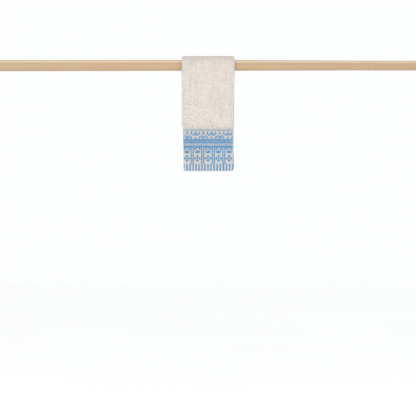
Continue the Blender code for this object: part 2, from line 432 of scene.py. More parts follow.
def bend(across, along, lift):
    """Bends flat cloth into the towel's folds and hangs it over the rod.

    Across, the cloth's middle plane is straight on its three layers. The left fold is a half circle of
    half a layer's pitch, and the right fold one of a whole pitch round the middle layer. Along, the
    drops hang straight down and a half circle round the rod joins them. lift is measured from the
    middle plane at right angles to it. Returns places, with x, y and z on the last axis.
    """
    row = down_the_length(along)
    pitch = row["thickness"] + LAYER_GAP
    free_middle, left_turn, left_centre, right_centre, right_turn, free_inner = stretch_ends(row)
    turn_left = np.clip(math.pi - (left_centre - across) / (pitch / 2.0), 0.0, math.pi)
    turn_right = np.clip((across - right_centre) / pitch, 0.0, math.pi)
    stretches = [across < left_turn, across < left_centre, across <= right_centre, across <= right_turn]

    x_choices = [
        left_centre + left_turn - across,
        left_centre - pitch / 2.0 * np.sin(turn_left),
        across,
        right_centre + pitch * np.sin(turn_right),
    ]
    depth_choices = [0.0, pitch / 2.0 * (1.0 - np.cos(turn_left)), pitch, pitch * np.cos(turn_right)]
    x = np.select(stretches, x_choices, right_centre + right_turn - across)
    depth = np.select(stretches, depth_choices, -pitch)
    normal_x = np.select(stretches, [0.0, -np.sin(turn_left), 0.0, np.sin(turn_right)], 0.0)
    normal_depth = np.select(stretches, [-1.0, -np.cos(turn_left), 1.0, np.cos(turn_right)], -1.0)
    middle_share = np.where(stretches[0], (left_turn - across) / (left_turn - free_middle), 0.0)
    inner_share = np.where(across > right_turn, (across - right_turn) / (free_inner - right_turn), 0.0)

    front = row["side"] < 0.0
    slip = middle_share * np.where(front, FRONT_SLIPS[0], BACK_SLIPS[0])
    slip = slip + inner_share * np.where(front, FRONT_SLIPS[1], BACK_SLIPS[1])
    drop = row["drop"] * (1.0 + slip / np.where(front, FRONT_LENGTH, BACK_LENGTH))
    x = x + lift * normal_x
    out = STACK_MIDDLE + row["lean"] + depth + lift * normal_depth + creased(x, row)
    y = -out * np.cos(row["angle"])
    z = HANG_HEIGHT + out * np.sin(row["angle"]) - drop
    return np.stack([TOWEL_MIDDLE + x, y, z], axis=-1)


def soft_noise(x, y, size, seed, waves=9):
    """Smooth unevenness from -1 to 1: a sum of cosines in random directions, about size across."""
    rng = np.random.default_rng(seed)
    directions = rng.uniform(0.0, 2.0 * math.pi, waves)
    lengths = size * rng.uniform(0.6, 1.6, waves)
    starts = rng.uniform(0.0, 2.0 * math.pi, waves)
    total = np.zeros(np.broadcast(x, y).shape)
    for direction, length, start in zip(directions, lengths, starts):
        place = x * math.cos(direction) + y * math.sin(direction)
        total += np.cos(2.0 * math.pi * place / length + start)
    return total / math.sqrt(waves)


def add_piece(name, points, corners, sizes, material, maps):
    """One smooth-shaded object from its points, the corners of its faces in a row, and each face's size."""
    points = points.reshape(-1, 3)
    mesh = bpy.data.meshes.new(name)
    mesh.vertices.add(len(points))
    mesh.vertices.foreach_set("co", np.ascontiguousarray(points, dtype=np.float32).ravel())
    mesh.loops.add(len(corners))
    mesh.loops.foreach_set("vertex_index", np.ascontiguousarray(corners, dtype=np.int32))
    starts = np.concatenate([[0], np.cumsum(sizes)[:-1]]).astype(np.int32)
    mesh.polygons.add(len(sizes))
    mesh.polygons.foreach_set("loop_start", starts)
    for map_name, places in maps.items():
        layer = mesh.uv_layers.new(name=map_name)
        layer.uv.foreach_set("vector", np.ascontiguousarray(places, dtype=np.float32).ravel())
    mesh.update(calc_edges=True)
    mesh.shade_smooth()
    mesh.materials.append(material)
    made = bpy.data.objects.new(name, mesh)
    bpy.context.scene.collection.objects.link(made)
    return made


def clear_piece(name):
    """Removes an earlier piece of that name, so that a panel button can make it again."""
    old = bpy.data.objects.get(name)
    if old is not None:
        bpy.data.objects.remove(old, do_unlink=True)


def map_at(corners, u, v):
    """A map's places at the faces' corners, from its places at the points."""
    return np.stack([u, v], axis=-1).reshape(-1, 2)[corners]


def bake_place(across, along, start, size):
    """Bake place of a flat place: its distance from the sheet's start over the sheet's size."""
    return (across + start[0]) / size[0], (along + start[1]) / size[1]


class Nodes:
    """Shorthand for building one material's node tree."""

    def __init__(self, name):
        self.material = bpy.data.materials.new(name)
        self.material.use_nodes = True
        self.tree = self.material.node_tree
        self.shader = self.tree.nodes["Principled BSDF"]

    def add(self, kind, **settings):
        """A node of a kind, with its settings."""
        node = self.tree.nodes.new(kind)
        for key, value in settings.items():
            setattr(node, key, value)
        return node

    def feed(self, socket, value):
        """Sets a socket to a number or a colour, or links another node's output to it."""
        if isinstance(value, (int, float)):
            socket.default_value = value
        elif isinstance(value, tuple):
            socket.default_value = (*value, 1.0)
        else:
            self.tree.links.new(value, socket)

    def split(self, vector):
        """The three parts of a vector."""
        node = self.add("ShaderNodeSeparateXYZ")
        self.feed(node.inputs[0], vector)
        return node.outputs["X"], node.outputs["Y"], node.outputs["Z"]

    def object_places(self, scale, shift=(0.0, 0.0, 0.0)):
        """Object coordinates, scaled and then shifted."""
        mapping = self.add("ShaderNodeMapping")
        mapping.inputs["Scale"].default_value = scale
        mapping.inputs["Location"].default_value = shift
        self.feed(mapping.inputs["Vector"], self.add("ShaderNodeTexCoord").outputs["Object"])
        return mapping.outputs["Vector"]

    def cloth_places(self):
        """Distances across and along the flat cloth, from its own map."""
        return self.split(self.add("ShaderNodeUVMap", uv_map="cloth").outputs["UV"])[:2]

    def noise(self, scale, detail=2.0, roughness=0.5, shift=(0.0, 0.0, 0.0)):
        """Soft noise over object coordinates; scale is how many times it changes in a metre of x, y and z."""
        node = self.add("ShaderNodeTexNoise")
        node.inputs["Scale"].default_value = 1.0
        node.inputs["Detail"].default_value = detail
        node.inputs["Roughness"].default_value = roughness
        self.feed(node.inputs["Vector"], self.object_places(scale, shift))
        return node.outputs["Fac"]

    def math(self, operation, first, second=0.0, third=0.0):
        """The result of one math node."""
        node = self.add("ShaderNodeMath", operation=operation)
        for socket, value in zip(node.inputs, (first, second, third)):
            self.feed(socket, value)
        return node.outputs[0]

    def near(self, place, middle, half, width, strength):
        """Strength at the two places that lie half away from the middle, falling to 0 over width."""
        from_middle = self.math("ABSOLUTE", self.math("SUBTRACT", place, middle))
        away = self.math("ABSOLUTE", self.math("SUBTRACT", from_middle, half))
        nearness = self.math("SUBTRACT", 1.0, self.math("DIVIDE", away, width))
        nearness.node.use_clamp = True
        return self.math("MULTIPLY", nearness, strength)

    def shades(self, factor, color, *stops):
        """Shades of a colour along a factor; stops are (place, share of the colour)."""
        node = self.add("ShaderNodeValToRGB")
        elements = node.color_ramp.elements
        elements[0].position, elements[1].position = stops[0][0], stops[-1][0]
        elements[0].color = (*shaded(color, stops[0][1]), 1.0)
        elements[1].color = (*shaded(color, stops[-1][1]), 1.0)
        for place, share in stops[1:-1]:
            elements.new(place).color = (*shaded(color, share), 1.0)
        self.feed(node.inputs["Fac"], factor)
        return node.outputs["Color"]

    def blend(self, factor, first, second):
        """Two colours, mixed by a factor."""
        node = self.add("ShaderNodeMix", data_type="RGBA")
        for socket, value in zip((node.inputs[0], node.inputs[6], node.inputs[7]), (factor, first, second)):
            self.feed(socket, value)
        return node.outputs[2]

    def complete(self, tint, relief=None, distance=0.0, strength=1.0):
        """Gives the material its colour and, with a relief, its bump. Returns the material."""
        self.feed(self.shader.inputs["Base Color"], tint)
        if relief is not None:
            node = self.add("ShaderNodeBump")
            node.inputs["Strength"].default_value = strength
            node.inputs["Distance"].default_value = distance
            self.feed(node.inputs["Height"], relief)
            self.feed(self.shader.inputs["Normal"], node.outputs["Normal"])
        return self.material


def shaded(color, share):
    """A colour made darker or lighter by a share."""
    return tuple(min(part * share, 1.0) for part in color)


def cotton(name, roughness=0.95):
    """The start of every cotton: dull, with a faint sheen of fibre."""
    nodes = Nodes(name)
    nodes.shader.inputs["Roughness"].default_value = roughness
    nodes.shader.inputs["Sheen Weight"].default_value = 0.25
    nodes.shader.inputs["Sheen Roughness"].default_value = 0.6
    nodes.shader.inputs["Specular IOR Level"].default_value = 0.2
    return nodes


def pile_cotton(color):
    """Loop yarn: off-white, mottled at the size of tufts and of hands, with a twisted-yarn bump.

    Shade is painted into its colour along the pile's edges, over the rod's crest and at the panel's sides.
    """
    nodes = cotton("pile_cotton")
    tufts = nodes.noise((230.0, 230.0, 150.0), roughness=0.6)
    upright = nodes.noise((250.0, 250.0, 26.0), detail=1.0)
    level = nodes.noise((30.0, 30.0, 250.0), detail=1.0)
    hands = nodes.noise((22.0, 22.0, 14.0))
    all_three = nodes.math("ADD", tufts, nodes.math("ADD", upright, level))
    mottle = nodes.math("MULTIPLY", all_three, 1.0 / 3.0)
    tint = nodes.shades(mottle, color, (0.38, 0.82), (0.50, 1.0), (0.62, 1.10))
    tint = nodes.blend(nodes.math("MULTIPLY", hands, 0.35), tint, shaded(color, 0.94))
    across, along = nodes.cloth_places()
    # Painted shade: the colour darkens along the pile's edges, over the rod's crest and at the panel's sides
    edges = nodes.near(along, PILE_MIDDLE, PILE_HALF_LENGTH, *PILE_EDGE_SHADE)
    crest_painted_shade = nodes.near(along, CREST, 0.0, *CREST_SHADE)
    sides = nodes.near(across, PANEL_MIDDLE, PANEL_HALF_WIDTH, *SIDE_SHADE)
    painted_shade = nodes.math("MAXIMUM", edges, nodes.math("MAXIMUM", crest_painted_shade, sides))
    tint = nodes.blend(painted_shade, tint, shaded(color, 0.60))
    fibre = nodes.noise((3600.0, 3600.0, 3600.0))
    return nodes.complete(tint, fibre, distance=0.0002, strength=0.8)


def ground_cotton(pile_color, border_color, pick_spacing):
    """The woven ground: fine curls under the pile, and in the border ribs of weft crossed by fine warp."""
    nodes = cotton("ground_cotton")
    across, along = nodes.cloth_places()
    cloudy = nodes.noise((120.0, 120.0, 120.0), detail=3.0)
    pile_tint = nodes.shades(cloudy, pile_color, (0.3, 0.90), (0.7, 1.0))
    border_tint = nodes.shades(cloudy, border_color, (0.3, 0.94), (0.7, 1.03))
    front = nodes.math("LESS_THAN", along, BORDER_HEIGHT)
    back = nodes.math("GREATER_THAN", along, WHOLE_LENGTH - BORDER_HEIGHT)
    border = nodes.math("MAXIMUM", front, back)
    weft = nodes.math("SINE", nodes.math("MULTIPLY", along, 2.0 * math.pi / pick_spacing))
    warp_turns = 2.0 * math.pi / (pick_spacing * WARP_SPACING)
    warp = nodes.math("SINE", nodes.math("MULTIPLY", across, warp_turns))
    weave = nodes.math("MULTIPLY_ADD", warp, WARP_RELIEF, weft)
    curls = nodes.math("MULTIPLY", nodes.noise((800.0, 800.0, 800.0)), CURL_RELIEF)
    relief = nodes.blend(border, curls, weave)
    return nodes.complete(nodes.blend(border, pile_tint, border_tint), relief, distance=0.00012, strength=0.8)


def blue_cotton(color):
    """Border yarn: blue, a little uneven from pick to pick and along each pick."""
    nodes = cotton("blue_cotton", roughness=0.85)
    picks = nodes.noise((70.0, 70.0, 900.0))
    patches = nodes.noise((55.0, 55.0, 40.0))
    tint = nodes.shades(picks, color, (0.30, 0.80), (0.55, 1.0), (0.78, 1.22))
    tint = nodes.blend(nodes.math("MULTIPLY", patches, 0.4), tint, shaded(color, 1.12))
    twist = nodes.noise((2600.0, 2600.0, 900.0), detail=1.0)
    return nodes.complete(tint, twist, distance=0.00012, strength=0.5)


def sewing_thread(color):
    """Hem thread: smoother and a little shinier than the cloth."""
    nodes = cotton("sewing_thread", roughness=0.6)
    twist = nodes.noise((1500.0, 1500.0, 1500.0), detail=1.0)
    tint = nodes.shades(twist, color, (0.3, 0.88), (0.7, 1.0))
    return nodes.complete(tint, twist, distance=0.0001, strength=0.5)


def pale_wood(light, dark):
    """Pale softwood, planed round: growth rings, fine fibres, soft clouds and faint streaks of sapwood.

    The distance from the tree's axis, which lies outside the rod, wanders with soft noise. Counted in
    half rings it runs to and fro between 0 and 1, and its cube is the share of late wood.
    """
    nodes = Nodes("pale_wood")
    nodes.shader.inputs["Roughness"].default_value = 0.48
    nodes.shader.inputs["Specular IOR Level"].default_value = 0.35
    drift = nodes.noise((2.2, 18.0, 18.0))
    _, y, z = nodes.split(nodes.object_places((1.0, 1.0, 1.0)))
    side = nodes.math("ADD", y, FROM_TREE_AXIS[0])
    height = nodes.math("ADD", z, FROM_TREE_AXIS[1])
    square = nodes.math("MULTIPLY_ADD", side, side, nodes.math("MULTIPLY", height, height))
    distance = nodes.math("MULTIPLY_ADD", drift, RING_DRIFT, nodes.math("SQRT", square))
    band = nodes.math("PINGPONG", nodes.math("MULTIPLY", distance, HALF_RINGS_IN_A_METRE), 1.0)
    late = nodes.math("POWER", band, RING_SHARPNESS)
    fibre = nodes.noise((16.0, 900.0, 900.0), detail=3.0, roughness=0.6)
    cloud = nodes.noise((3.0, 30.0, 30.0))
    sap = nodes.noise((4.5, 26.0, 26.0), shift=(3.0, 0.0, 0.0))
    tint = nodes.shades(fibre, light, (0.28, 0.86), (0.52, 1.0), (0.75, 1.06))
    tint = nodes.blend(nodes.math("MULTIPLY", late, 0.45), tint, dark)
    tint = nodes.blend(nodes.math("MULTIPLY", cloud, 0.35), tint, shaded(light, 0.90))
    sap_color = (light[0] * 0.92, light[1] * 1.04, light[2] * 0.97)
    tint = nodes.blend(nodes.shades(sap, WHITE, (0.42, 0.0), (0.62, 0.45)), tint, sap_color)
    relief = nodes.math("MULTIPLY_ADD", late, 0.5, fibre)
    return nodes.complete(tint, relief, distance=0.00025, strength=0.35)


def length_setting(name, default, description):
    """A size that a user may change."""
    return bpy.props.FloatProperty(name=name, default=default, description=description, unit="LENGTH")


def power_setting(name, default, description):
    """A lamp's power that a user may change."""
    return bpy.props.FloatProperty(name=name, default=default, description=description, unit="POWER")


def color_setting(name, default, description):
    """A colour that a user may change."""
    return bpy.props.FloatVectorProperty(name=name, default=default, description=description, subtype="COLOR")


class TowelCloth(bpy.types.PropertyGroup):
    """Sizes and colours of the woven ground."""

    ground_half: length_setting(
        "Ground half thickness", 0.00068, "Half the thickness of the woven ground under the pile"
    )
    yarn_depth: length_setting(
        "Border yarn depth", 0.00012, "How far the ground lies under the border's blue yarn"
    )
    edge_rounding: length_setting(
        "Free edge rounding", 0.0005, "How far the free edges bulge past the ground"
    )
    color: color_setting(
        "Ground under the pile", (0.75, 0.688, 0.632), "Colour of the woven ground under the pile"
    )
    border_color: color_setting(
        "Border ground", (0.499, 0.482, 0.462), "Colour of the border's off-white weave"
    )


class TowelPile(bpy.types.PropertyGroup):
    """Sizes and colour of the loops."""

    spacing: length_setting("Loop spacing", 0.00152, "Distance between loops on the front")
    width: length_setting("Loop width", 0.0015, "Distance between a loop's two feet")
    length: length_setting("Loop length", 0.0022, "How far a loop's top is from its feet")
    yarn: length_setting("Yarn radius", 0.00056, "Radius of the loops' yarn")
    color: color_setting("Pile", (0.778, 0.713, 0.653), "Colour of the loops")


class TowelBorder(bpy.types.PropertyGroup):
    """Sizes and colours of the woven figure and the hem thread."""

    pick_spacing: length_setting("Pick spacing", 0.0008, "Distance between the border's weft yarns")
    float_length: length_setting(
        "Float length", 0.0042, "Longest stretch of blue yarn that lies on top"
    )
    color: color_setting("Blue yarn", (0.058, 0.250, 0.467), "Colour of the border's figure")
    thread_color: color_setting("Hem thread", (0.80, 0.76, 0.70), "Colour of the hem's sewing thread")


class TowelRod(bpy.types.PropertyGroup):
    """Sizes and colours of the rod."""

    sides: bpy.props.IntProperty(name="Sides", description="Faces round the rod", default=64)
    unevenness: length_setting("Unevenness", 0.00012, "How far the planed surface wanders")
    color: color_setting("Light wood", (0.452, 0.300, 0.187), "Colour of the early wood")
    dark_color: color_setting(
        "Dark wood", (0.350, 0.218, 0.122), "Colour of the late wood and of fine streaks"
    )


class TowelStage(bpy.types.PropertyGroup):
    """Camera, light and floor."""

    distance: length_setting("Camera distance", 6.0, "From the rod to the camera")
    frame_width: length_setting("Width in view", 1.3312, "Width of the picture at the rod")
    frame_middle: length_setting("Camera height", -0.4554, "Height of the camera from the rod")
    floor_drop: length_setting("Floor", 1.25, "How far the floor lies under the rod")
    key_power: power_setting("Key light", 49.5, "Power of the large light in front")
    gloss_power: power_setting(
        "Gloss light", 150.0, "Power of the strip overhead that only gives gloss"
    )
    bounce_power: power_setting("Bounce light", 4.0, "Power of the faint light from below")
    surround: color_setting("Surround", (0.982, 1.0, 0.991), "Colour of the studio's walls")


def share_stations():
    """Shares across the sheet, finer in the folds."""
    runs = [np.linspace(low, low + 1, count, endpoint=False) for low, count in enumerate(STATIONS_ACROSS)]
    return np.concatenate([*runs, [len(STATIONS_ACROSS)]])


def along_stations():
    """Distances along the sheet: finer at the hems, at the pile's edges and over the rod."""
    far_edges = [WHOLE_LENGTH - edge for edge in reversed(EDGES_ALONG)]
    edges = [*EDGES_ALONG, FRONT_LENGTH, BACK_START, *far_edges]
    pairs = zip(edges, edges[1:], STEPS_ALONG)
    runs = [np.linspace(start, stop, steps, endpoint=False) for start, stop, steps in pairs]
    return np.concatenate([*runs, [WHOLE_LENGTH]])


def ground_lifts(share, row):
    """Places across, and the ground's half thickness on the right side and on the reverse.

    The right side, where it shows, is the solid's less the blue yarn in the border and hem, and under
    the pile it is drawn in, so that the loops stand on it. The middle layer and the reverse keep the
    solid's thickness less a little. Within a selvedge both sides are thin.
    """
    sizes = bpy.context.scene.towel_cloth
    half = row["thickness"] / 2.0
    piled = np.clip((row["thickness"] - BORDER_THICKNESS) / (PILE_THICKNESS - BORDER_THICKNESS), 0.0, 1.0)
    piled = np.where(row["drop"] > NO_PILE_BELOW, 0.0, piled)
    woven = half - sizes.yarn_depth
    plain = half - GROUND_INSET
    right = np.where(share > 1.0, woven + (sizes.ground_half - woven) * piled, plain)
    ends = stretch_ends(row)
    across = at_share(share, ends)
    from_edge = np.minimum(np.abs(across - ends[0]), np.abs(across - ends[-1]))
    selvedge = np.clip(1.0 - from_edge / SELVEDGE, 0.0, 1.0) ** 2
    thin = np.minimum(sizes.ground_half, half)
    return across, right + (thin - right) * selvedge, plain + (thin - plain) * selvedge


def closed_ring_sheet():
    """Flat places of the sheet's closed rings, one ring for each distance along, and the points across.

    A ring runs over the right side, round the last free edge, back over the reverse and round the
    first free edge. The free edges are half ellipses.
    """
    along = along_stations()[:, None]
    share = share_stations()[None, :]
    across, right, reverse = ground_lifts(share, down_the_length(along))
    rounding = bpy.context.scene.towel_cloth.edge_rounding
    turn = np.linspace(0.0, math.pi, EDGE_POINTS + 2)[1:-1]
    last_across = across[:, -1:] + rounding * np.sin(turn)
    last_lift = right[:, -1:] * np.cos(turn)
    first_across = across[:, :1] - rounding * np.sin(turn)
    first_lift = -right[:, :1] * np.cos(turn)
    ring_across = np.concatenate([across, last_across, across[:, ::-1], first_across], axis=1)
    ring_lift = np.concatenate([right, last_lift, -reverse[:, ::-1], first_lift], axis=1)
    return ring_across, np.broadcast_to(along, ring_across.shape), ring_lift, share.shape[1]


def grid_faces(rings, count):
    """Quads between closed rings of count points, one ring after the other."""
    ring = np.arange(rings - 1)[:, None]
    index = np.arange(count)[None, :]
    here = ring * count + index
    beside = ring * count + (index + 1) % count
    return np.stack([here, beside, beside + count, here + count], axis=-1).reshape(-1, 4)


def hem_faces(start, count, across):
    """Quads that close one ring from its right side to its reverse, and the two small free-edge ends."""
    index = np.arange(across - 1)
    edge = (count - 2 * across) // 2
    face = start + index
    reverse = start + 2 * across + edge - 1 - index
    quads = np.stack([face, face + 1, reverse - 1, reverse], axis=-1)
    last = start + np.arange(across - 1, across + edge + 1)
    first = start + np.append(np.arange(2 * across + edge - 1, count), 0)
    return quads, last, first


class TOWEL_OT_cloth(bpy.types.Operator):
    """Weave the towel's ground: a closed sheet in three layers, hung over the rod."""

    bl_idname = "towel.make_cloth"
    bl_label = "Make the cloth"

    def execute(self, context):
        clear_piece("towel_cloth")
        sizes = context.scene.towel_cloth
        across, along, lift, count = closed_ring_sheet()
        rings, ring_size = across.shape
        low_quads, *low_ends = hem_faces(0, ring_size, count)
        high_quads, *high_ends = hem_faces((rings - 1) * ring_size, ring_size, count)
        quads = np.concatenate([grid_faces(rings, ring_size), low_quads[:, ::-1], high_quads])
        ends = [end[::-1] for end in low_ends] + high_ends
        corners = np.concatenate([quads.ravel(), *ends])
        face_sizes = np.concatenate([np.full(len(quads), 4), [len(end) for end in ends]])
        index = np.arange(ring_size)
        on_reverse = (index >= count + EDGE_POINTS - 1) & (index <= 2 * count + EDGE_POINTS)
        u, v = bake_place(across, along, CLOTH_BAKE_START, CLOTH_BAKE_SIZE)
        u = u + CLOTH_BAKE_REVERSE * on_reverse
        maps = {"cloth": map_at(corners, across, along), "OFBake": map_at(corners, u, v)}
        pick_spacing = context.scene.towel_border.pick_spacing
        material = ground_cotton(tuple(sizes.color), tuple(sizes.border_color), pick_spacing)
        cloth = add_piece("towel_cloth", bend(across, along, lift), corners, face_sizes, material, maps)
        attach(cloth, "root")
        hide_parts("towel")
        return {"FINISHED"}


def yarn_rows(first, rings, last):
    """One row of values for each yarn: its first point, the points of its rings and its last point."""
    return np.concatenate([first, rings.reshape(len(rings), -1), last], axis=1)


def yarn_faces(count, rings, sides):
    """Faces of count yarns: triangles at both end points, and quads between the rings."""
    index = np.arange(sides)
    beside = (index + 1) % sides
    start = 1 + np.arange(rings - 1)[:, None] * sides
    quads = np.stack([start + index, start + index + sides, start + beside + sides, start + beside], axis=-1)
    first = np.stack([np.zeros(sides, int), 1 + index, 1 + beside], axis=-1)
    last_ring = 1 + (rings - 1) * sides
    last = last_ring + np.stack([beside, index, np.full(sides, sides)], axis=-1)
    one = np.concatenate([first.ravel(), quads.ravel(), last.ravel()])
    one_sizes = [3] * sides + [4] * (sides * (rings - 1)) + [3] * sides
    corners = one[None, :] + (np.arange(count) * (rings * sides + 2))[:, None]
    return corners.ravel(), np.tile(one_sizes, count)


def lay_yarns(name, flat, corners, face_sizes, material, with_cloth_map=False):
    """Bends yarns from their flat places into one piece. Its bake places draw lift a little sideways."""
    clear_piece(name)
    across, along, lift = flat
    sideways = YARN_BAKE_LIFT * lift
    u, v = bake_place(across + sideways, along + sideways, YARN_BAKE_START, YARN_BAKE_SIZE)
    maps = {"cloth": map_at(corners, across, along)} if with_cloth_map else {}
    maps["OFBake"] = map_at(corners, u, v)
    piece = add_piece(name, bend(across, along, lift), corners, face_sizes, material, maps)
    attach(piece, "root")


def loop_spots(shares, alongs, spacing, seed):
    """Flat places of loop feet: staggered rows, each spot moved a little at random.

    Rows run across. A row's spots are even in share, as many as fit the stretch at its middle.
    """
    rng = np.random.default_rng(seed)
    rows = max(int(round((alongs[1] - alongs[0]) / spacing)), 1)
    step = (alongs[1] - alongs[0]) / rows
    row = np.arange(rows)[:, None]
    middle = stretch_ends(down_the_length((alongs[0] + alongs[1]) / 2.0))
    across_runs, along_runs = [], []
    for stretch in range(*shares):
        width = STRETCH_FILL * (middle[stretch + 1] - middle[stretch])
        columns = max(int(round(width / spacing)), 2)
        place = np.arange(columns) + FIRST_SPOT + ROW_STAGGER * (row % 2)
        place = place + rng.uniform(-SPOT_JITTER, SPOT_JITTER, (rows, columns))
        share = stretch + np.clip(place / columns, STRETCH_MARGIN, 1.0 - STRETCH_MARGIN)
        along = alongs[0] + (row + 0.5 + rng.uniform(-SPOT_JITTER, SPOT_JITTER, (rows, columns))) * step
        across_runs.append(at_share(share, stretch_ends(down_the_length(along))).ravel())
        along_runs.append(along.ravel())
    across, along = np.concatenate(across_runs), np.concatenate(along_runs)
    ends = stretch_ends(down_the_length(along))
    keep = (across < ends[-1] - SELVEDGE) & (across > ends[0] + SELVEDGE)
    return across[keep], along[keep]


def loops_of_yarn(across, along, seed):
    """Terry loops, laid flat: each is a bow of yarn that lies over in its own direction.

    A loop's middle line is an arch from foot to foot: half its width times minus the cosine, wider
    towards the top, and its length times the sine. The arch's plane is tipped over until its top
    stays within the pile. Loops lie towards the nearer hem. Directions and heights follow soft noise,
    so the pile lies in small patches, and it is lower in the troughs of the creases. Each yarn is a
    foot point, three rings of three points and a foot point, and its feet are sunk in the ground.
    Returns flat places shaped (loops, 11).
    """
    sizes = bpy.context.scene.towel_pile
    rng = np.random.default_rng(seed)
    count = len(across)
    row = down_the_length(along)
    ground = bpy.context.scene.towel_cloth.ground_half
    depth = PILE_THICKNESS / 2.0 - ground - sizes.yarn
    tuft = soft_noise(across, along, TUFT_SIZE, TUFT_SEED)
    crease = creased(bend(across, along, 0.0)[:, 0] - TOWEL_MIDDLE, row)
    parted = np.clip(crease / CREASES["height"].max(), -1.0, 0.0)
    share = TOP_SHARE + TOP_TUFTS * tuft + TOP_PARTED * parted + rng.uniform(-TOP_SPREAD, TOP_SPREAD, count)
    top = depth * np.clip(share, *TOP_LIMITS)
    length = sizes.length * rng.uniform(*LENGTH_SPREAD, count)
    half_width = (sizes.width / 2.0 * rng.uniform(*WIDTH_SPREAD, count))[:, None]
    radius = (sizes.yarn * rng.uniform(*YARN_SPREAD, count))[:, None, None]
    swirl = SWIRL_TURN * soft_noise(across, along, SWIRL_SIZE, SWIRL_SEED)
    swirl = swirl + rng.normal(0.0, LIE_SPREAD, count)
    lie = (math.pi / 2.0 * row["side"] + swirl)[:, None]
    turn = lie - math.pi / 2.0

    step = np.array(ARCH_STEPS) * math.pi
    walk = -np.cos(step) * (1.0 + ARCH_BELLY * np.sin(step)) * half_width
    out = np.sin(step) * length[:, None]
    upright = (top / length)[:, None, None]
    tipped = np.sqrt(1.0 - upright**2)
    slope = (np.array([1.0, 0.0, -1.0]) * math.pi / 3.0)[:, None]
    side = np.array([0.0, 2.0, 4.0]) * math.pi / 3.0 + math.pi / 2.0
    from_plane = radius * np.cos(side)
    from_line = radius * np.sin(side)
    walk = walk[:, :, None] - from_line * np.sin(slope)
    out = out[:, :, None] + from_line * np.cos(slope)
    lying = out * tipped - from_plane * upright
    lift = out * upright + from_plane * tipped

    foot = FOOT_SPREAD * half_width
    level = np.zeros((count, 1))
    walk = yarn_rows(-foot, walk, foot)
    lying = yarn_rows(level, lying, level)
    lift = yarn_rows(level - FOOT_DEPTH, lift, level - FOOT_DEPTH)
    flat_across = across[:, None] + np.cos(turn) * walk + np.cos(lie) * lying
    flat_along = along[:, None] + np.sin(turn) * walk + np.sin(lie) * lying
    return flat_across, flat_along, ground + lift


# Each row: piece, first and last share, first and last distance along, and how much coarser than the front
PILE_PIECES = [
    ("pile_front_lower", (1, 4), (PILE_EDGE_FRONT, FRONT_HALFWAY), 1.0),
    ("pile_front_upper", (1, 4), (FRONT_HALFWAY, FRONT_LENGTH), 1.0),
    ("pile_over_rod", (1, 4), (FRONT_LENGTH, BACK_START), 1.0),
    ("pile_back", (1, 4), (BACK_START, PILE_EDGE_BACK), 1.12),
    ("pile_inside_front", (4, 5), (PILE_EDGE_FRONT, FRONT_LENGTH), 2.0),
    ("pile_inside_back", (4, 5), (BACK_START, PILE_EDGE_BACK), 2.0),
]


class TOWEL_OT_pile(bpy.types.Operator):
    """Stand the terry loops on the ground, in pieces of under 200,000 triangles."""

    bl_idname = "towel.make_pile"
    bl_label = "Make the pile"

    def execute(self, context):
        sizes = context.scene.towel_pile
        material = pile_cotton(tuple(sizes.color))
        for number, (name, shares, alongs, coarser) in enumerate(PILE_PIECES):
            across, along = loop_spots(shares, alongs, sizes.spacing * coarser, SPOT_SEED + number)
            flat = loops_of_yarn(across, along, LOOP_SEED + number)
            corners, face_sizes = yarn_faces(len(across), rings=3, sides=3)
            lay_yarns(name, flat, corners, face_sizes, material, with_cloth_map=True)
        return {"FINISHED"}


def lozenge(x, y, half):
    """True inside a square that stands on its corner."""
    return np.abs(x) + np.abs(y) < half


def between(value, row):
    """True between a row's lower and upper edge."""
    return (value > row[0]) & (value < row[1])


def in_repeat(place, pitch):
    """Distance from the middle of the nearest repeat, with repeats one pitch apart."""
    return (place + pitch / 2.0) % pitch - pitch / 2.0


def hem_stripes(across, height, wave):
    """Stripes up from the hem, wider towards it, pointed at the top and bowed outwards at the right."""
    bow = STRIPE_BOW * np.clip(across / STRIPE_BOW_REACH, 0.0, 1.0)
    bow = bow * np.sin(math.pi * np.clip(height / STRIPE_TOP, 0.0, 1.0))
    aside = np.abs(in_repeat(across + wave - bow, STRIPE_PITCH))
    half = STRIPE_HALF + STRIPE_GROWTH * (STRIPE_TOP - height)
    return (aside < half) & (height < STRIPE_TOP - STRIPE_POINT * aside)


def bay_motifs(x, height):
    """One bay, x across from its middle.

    It has an upright and half a column of beads at each edge, a blue head with a light dome and a light
    lozenge on each shoulder, a cup-shaped flower with three petals, and a cross of four lozenges.
    """
    aside = np.abs(x)
    upright_place = BAY / 2.0 - UPRIGHT_FROM_BAY_EDGE
    under_line = height < LINE_ROW[0]
    upright = (np.abs(aside - upright_place) < UPRIGHT_HALF) & (height >= STRIPE_TOP - STRIPE_OVERLAP)
    bead = lozenge(aside - BAY / 2.0, in_repeat(height, BEAD_PITCH), BEAD_HALF)
    head = (aside < upright_place) & (height > ARCH_FOOT)
    dome = (x / DOME_HALF_WIDTH) ** 2 + ((height - ARCH_FOOT) / DOME_RISE) ** 2 < 1.0
    shoulder = lozenge(aside - SHOULDER_PLACE, height - SHOULDER_HEIGHT, SHOULDER_HALF)
    motifs = (upright | (head & ~dome & ~shoulder)) & under_line
    motifs |= bead & between(height, (STRIPE_TOP, ARCH_FOOT))

    petals = CUP_RIM + CUP_PETAL * np.abs(np.cos(1.5 * math.pi * x / upright_place))
    petals = petals + CUP_TIP * np.clip(1.0 - 3.0 * aside / upright_place, 0.0, 1.0)
    bowl = (x / CUP_HALF_WIDTH) ** 2 + (np.minimum(height - CUP_RIM, 0.0) / CUP_DEPTH) ** 2 < 1.0
    motifs |= bowl & (height < petals)

    up = height - CROSS_HEIGHT
    motifs |= lozenge(aside - CROSS_ARM, up, CROSS_LOZENGE)
    motifs |= lozenge(x, np.abs(up) - CROSS_ARM, CROSS_LOZENGE)
    return motifs | lozenge(x, up, CROSS_HEART)


